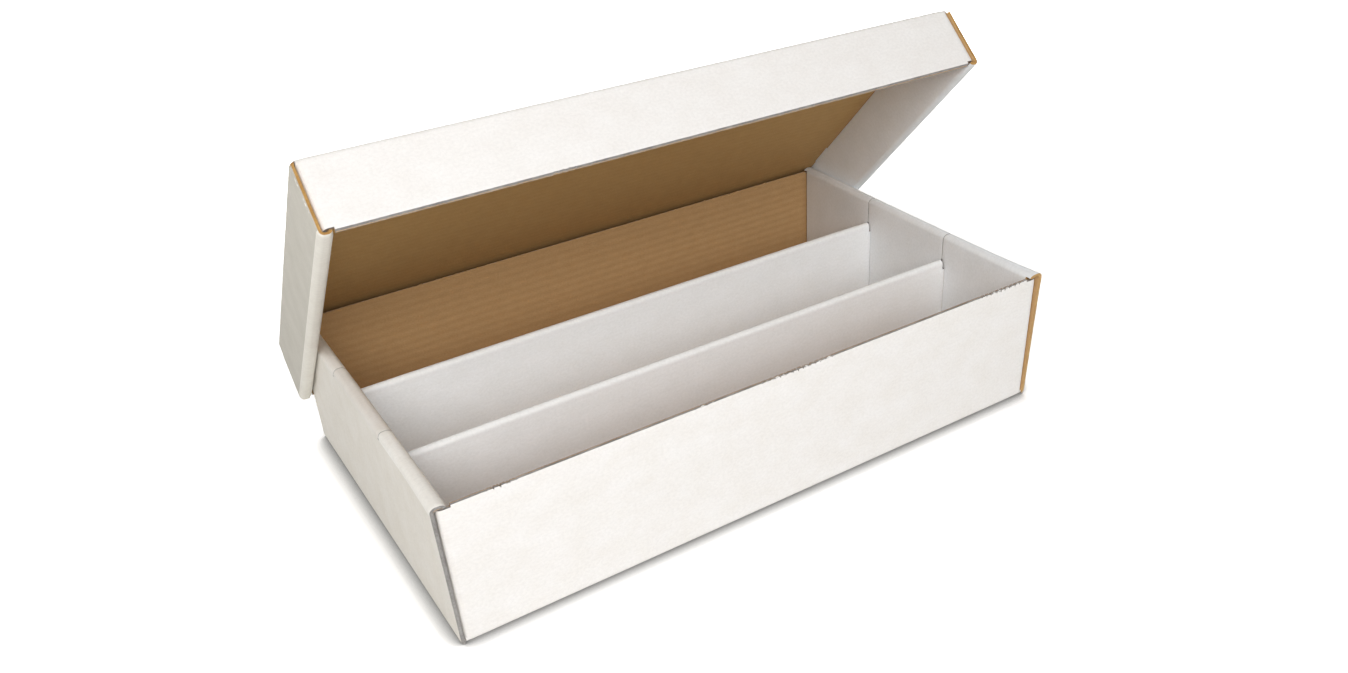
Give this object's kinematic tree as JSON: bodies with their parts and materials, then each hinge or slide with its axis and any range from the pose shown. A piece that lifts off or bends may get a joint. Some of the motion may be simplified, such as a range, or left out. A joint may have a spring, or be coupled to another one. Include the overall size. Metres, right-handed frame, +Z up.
{
  "type": "card storage box",
  "caption": "Folded corrugated-board storage box with long card rows between dividers, roll-over ends and a separate full lid that leans open on its back wall.",
  "frame": {"origin": "centre of the tray's underside, on the table", "axes": "+X along the card rows, +Y from the front wall to the back wall, +Z up"},
  "size_m": [0.5162, 0.3281, 0.2891],
  "materials": {
    "white_outside_kraft_inside_board": "matt white liner outside, brown kraft liner inside",
    "white_rolled_board": "matt white liner on every side that shows",
    "divider_board": "matt white liner, folded double"
  },
  "bodies": {
    "base": {"base_floor": "white_outside_kraft_inside_board", "base_front_wall": "white_outside_kraft_inside_board", "base_back_wall": "white_outside_kraft_inside_board", "base_left_end": "white_outside_kraft_inside_board", "base_right_end": "white_outside_kraft_inside_board", "base_front_left_tab": "white_outside_kraft_inside_board", "base_front_right_tab": "white_outside_kraft_inside_board", "base_back_left_tab": "white_outside_kraft_inside_board", "base_back_right_tab": "white_outside_kraft_inside_board", "base_left_flap_front": "white_rolled_board", "base_left_flap_middle": "white_rolled_board", "base_left_flap_back": "white_rolled_board", "base_right_flap_front": "white_rolled_board", "base_right_flap_middle": "white_rolled_board", "base_right_flap_back": "white_rolled_board", "front_divider": "divider_board", "back_divider": "divider_board"},
    "lid": {"lid_top": "white_outside_kraft_inside_board", "lid_front_lip": "white_outside_kraft_inside_board", "lid_back_lip": "white_outside_kraft_inside_board", "lid_left_end": "white_outside_kraft_inside_board", "lid_right_end": "white_outside_kraft_inside_board", "lid_left_flap": "white_rolled_board", "lid_right_flap": "white_rolled_board", "lid_front_left_tab": "white_outside_kraft_inside_board", "lid_front_right_tab": "white_outside_kraft_inside_board", "lid_back_left_tab": "white_outside_kraft_inside_board", "lid_back_right_tab": "white_outside_kraft_inside_board"}
  },
  "joints": [
    {"name": "lid_lift", "type": "slide", "parent": "base", "child": "lid", "axis": [0, 0, 1], "range_m": [0, 0.1]}
  ]
}
